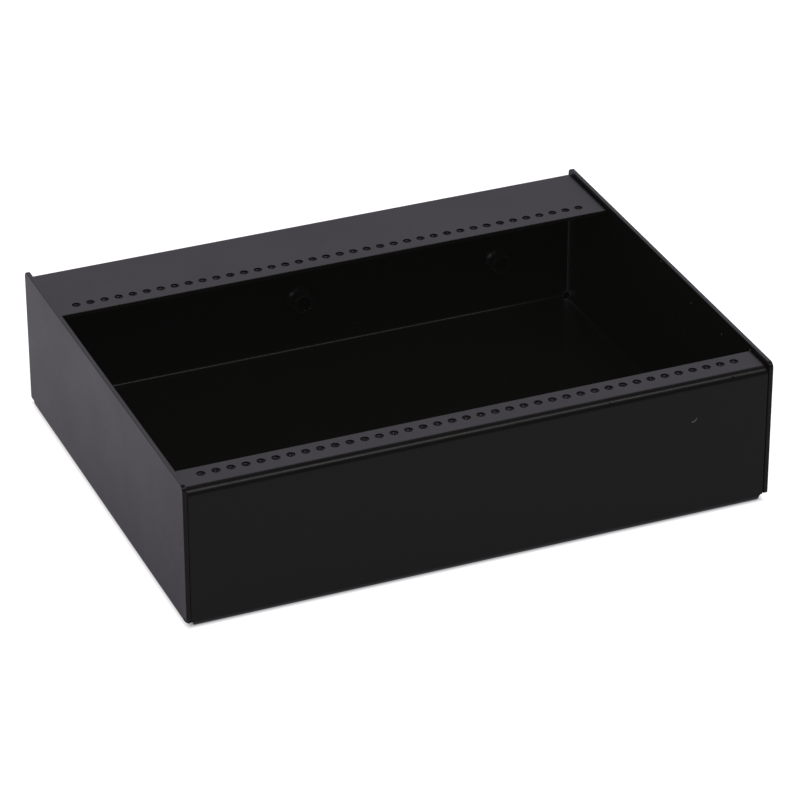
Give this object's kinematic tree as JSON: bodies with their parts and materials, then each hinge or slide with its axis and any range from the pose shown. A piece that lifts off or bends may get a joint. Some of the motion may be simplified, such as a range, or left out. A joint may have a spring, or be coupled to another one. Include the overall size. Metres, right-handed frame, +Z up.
{
  "type": "sheet metal chassis",
  "caption": "Shallow open-top tray chassis folded from black powder-coated sheet, with tapped-hole flanges front and back and raised side walls.",
  "frame": {"origin": "middle of the underside", "axes": "+X along the width to the right, +Y from the front wall to the back wall, +Z up"},
  "size_m": [0.2076, 0.1594, 0.053],
  "materials": {
    "black_powder_coat": "satin black fine-texture powder coat on steel sheet",
    "black_nut": "blackened steel, slightly glossy"
  },
  "bodies": {
    "root": {"chassis": "black_powder_coat", "rivet_nut_left": "black_nut", "rivet_nut_right": "black_nut"}
  },
  "joints": []
}
